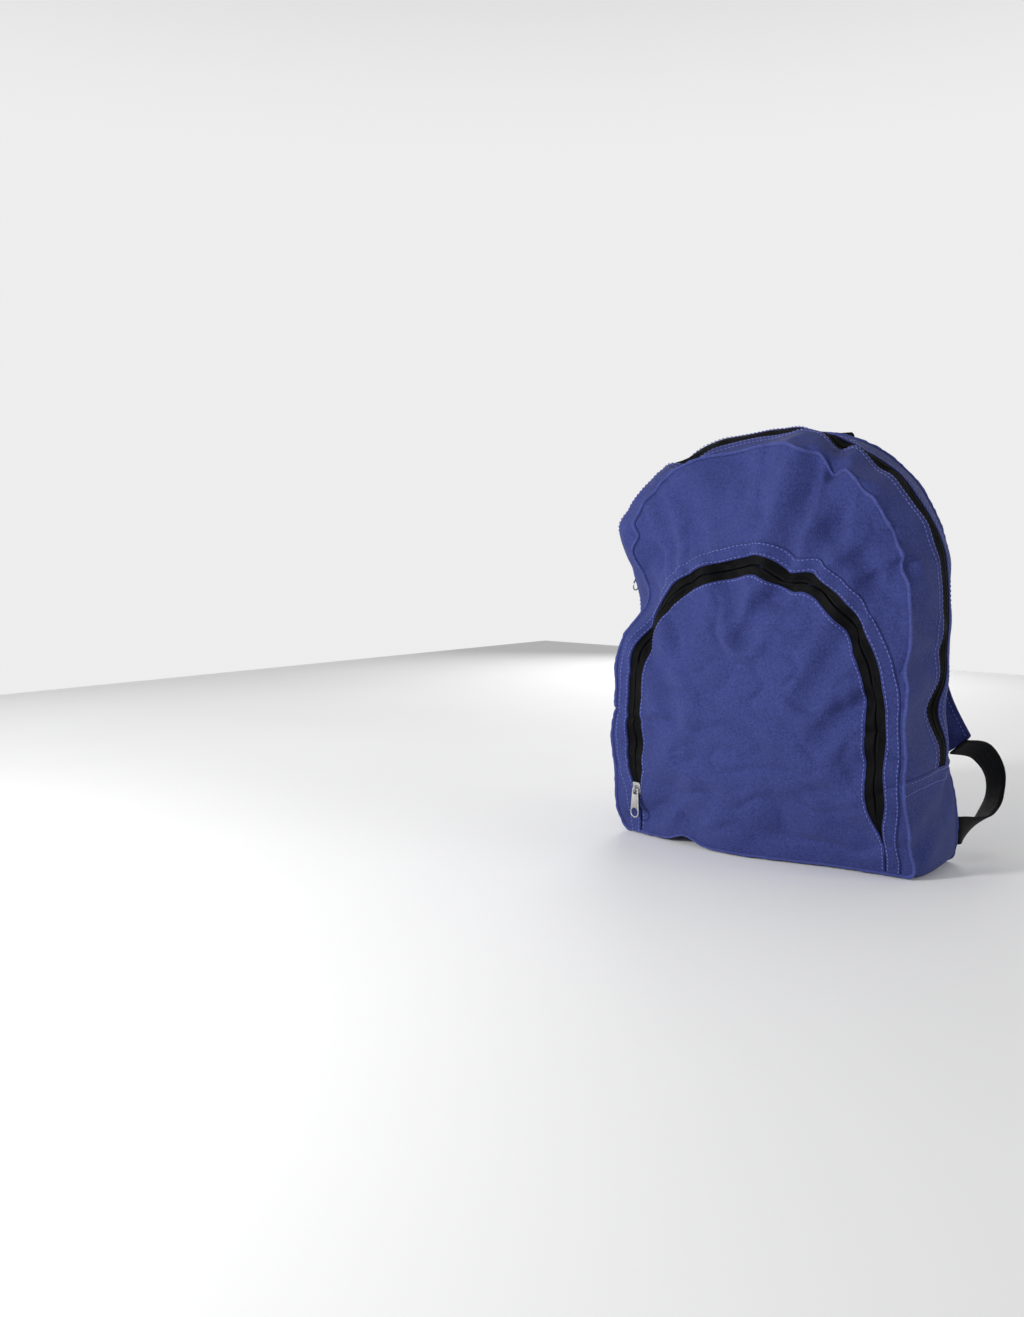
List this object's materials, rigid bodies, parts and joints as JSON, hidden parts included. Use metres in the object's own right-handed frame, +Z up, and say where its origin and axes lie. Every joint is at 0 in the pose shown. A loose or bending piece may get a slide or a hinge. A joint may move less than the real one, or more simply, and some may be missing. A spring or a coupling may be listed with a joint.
{
  "type": "school backpack",
  "caption": "Arched school backpack with a wrap-round main zip, a domed front pocket, two padded shoulder straps and a haul loop.",
  "frame": {"origin": "middle of the flat base, on the surface that the bag stands on", "axes": "+X to the wearer's right across the bag, -Y out of the front pocket, +Z up to the crown"},
  "size_m": [0.341, 0.1913, 0.3908],
  "materials": {
    "blue_cloth": "matt plain-weave polyester",
    "lining": "smooth thin lining",
    "binding": "matt ribbed tape",
    "zip_tape": "matt knitted tape",
    "zip_coil": "satin",
    "nickel": "bright nickel plate, lightly worn",
    "black_webbing": "matt woven webbing",
    "foam": "open foam"
  },
  "bodies": {
    "rear_shell": {"back_panel": "blue_cloth", "back_foam": "foam", "back_lining": "lining", "rear_seam_lip": "blue_cloth", "rear_inner_binding": "binding", "rear_gusset": "blue_cloth", "lower_side_left": "blue_cloth", "lower_side_right": "blue_cloth", "base_panel": "blue_cloth", "rear_zip_tape": "zip_tape", "main_coil_rear": "zip_coil", "strap_patch": "blue_cloth", "strap_sewn_end_left": "blue_cloth", "strap_sewn_end_right": "blue_cloth"},
    "front_shell": {"front_panel": "blue_cloth", "front_gusset": "blue_cloth", "front_seam_lip": "blue_cloth", "front_inner_binding": "binding", "front_zip_tape": "zip_tape", "main_coil_front": "zip_coil", "pocket_lining": "lining", "pocket_facing": "blue_cloth", "pocket_tape_outer": "zip_tape", "pocket_coil_outer": "zip_coil", "pocket_panel_foot": "blue_cloth", "pocket_tape_foot": "zip_tape", "pocket_coil_foot": "zip_coil"},
    "pocket_flap": {"pocket_panel": "blue_cloth", "pocket_tape_inner": "zip_tape", "pocket_coil_inner": "zip_coil"},
    "upper_slider_body": {"upper_slider": "nickel", "upper_bail": "nickel"},
    "upper_puller_body": {"upper_puller": "nickel"},
    "lower_slider_body": {"lower_slider": "nickel", "lower_bail": "nickel"},
    "lower_puller_body": {"lower_puller": "nickel"},
    "pocket_slider_body": {"pocket_slider": "nickel", "pocket_bail": "nickel"},
    "pocket_puller_body": {"pocket_puller": "nickel"},
    "haul_loop_body": {"haul_loop": "black_webbing"},
    "strap_left": {"strap_cover_left": "blue_cloth", "strap_foam_left": "foam", "strap_webbing_left": "black_webbing"},
    "strap_right": {"strap_cover_right": "blue_cloth", "strap_foam_right": "foam", "strap_webbing_right": "black_webbing"}
  },
  "joints": [
    {"name": "front_open", "type": "hinge", "parent": "rear_shell", "child": "front_shell", "pos_m": [0, -0.054, 0.003], "axis": [1, 0, 0], "range_deg": [0, 25]},
    {"name": "pocket_open", "type": "hinge", "parent": "front_shell", "child": "pocket_flap", "pos_m": [0, -0.0635, 0.063], "axis": [1, 0, 0], "range_deg": [0, 18]},
    {"name": "upper_slider_travel", "type": "hinge", "parent": "rear_shell", "child": "upper_slider_body", "pos_m": [0, 0.006, 0.238], "axis": [0, 1, 0], "range_deg": [0, 169.5]},
    {"name": "lower_slider_travel", "type": "slide", "parent": "rear_shell", "child": "lower_slider_body", "axis": [0, 0, -1], "range_m": [0, 0.141]},
    {"name": "pocket_slider_travel", "type": "hinge", "parent": "front_shell", "child": "pocket_slider_body", "pos_m": [0, 0.633, 0.142], "axis": [-1, 0, 0], "range_deg": [0, 8.02]},
    {"name": "upper_puller_swing", "type": "hinge", "parent": "upper_slider_body", "child": "upper_puller_body", "pos_m": [-0.15124, 0.006, 0.25791], "axis": [-0.0653, 0.866, -0.4957], "range_deg": [0, 150]},
    {"name": "lower_puller_swing", "type": "hinge", "parent": "lower_slider_body", "child": "lower_puller_body", "pos_m": [-0.15255, 0.006, 0.236], "axis": [0, 0.9962, 0.0872], "range_deg": [0, 145]},
    {"name": "pocket_puller_swing", "type": "hinge", "parent": "pocket_slider_body", "child": "pocket_puller_body", "pos_m": [-0.1187, -0.05268, 0.04543], "axis": [-0.9856, 0.1673, 0.0236], "range_deg": [-6, 150]},
    {"name": "haul_loop_swing", "type": "hinge", "parent": "rear_shell", "child": "haul_loop_body", "pos_m": [0, 0.0612, 0.38], "axis": [1, 0, 0], "range_deg": [0, 100]},
    {"name": "strap_left_swing", "type": "hinge", "parent": "rear_shell", "child": "strap_left", "pos_m": [-0.04, 0.063, 0.345], "axis": [0.3252, 0, 0.9457], "range_deg": [-20, 20]},
    {"name": "strap_right_swing", "type": "hinge", "parent": "rear_shell", "child": "strap_right", "pos_m": [0.04, 0.063, 0.345], "axis": [0.3252, 0, -0.9457], "range_deg": [-20, 20]}
  ]
}
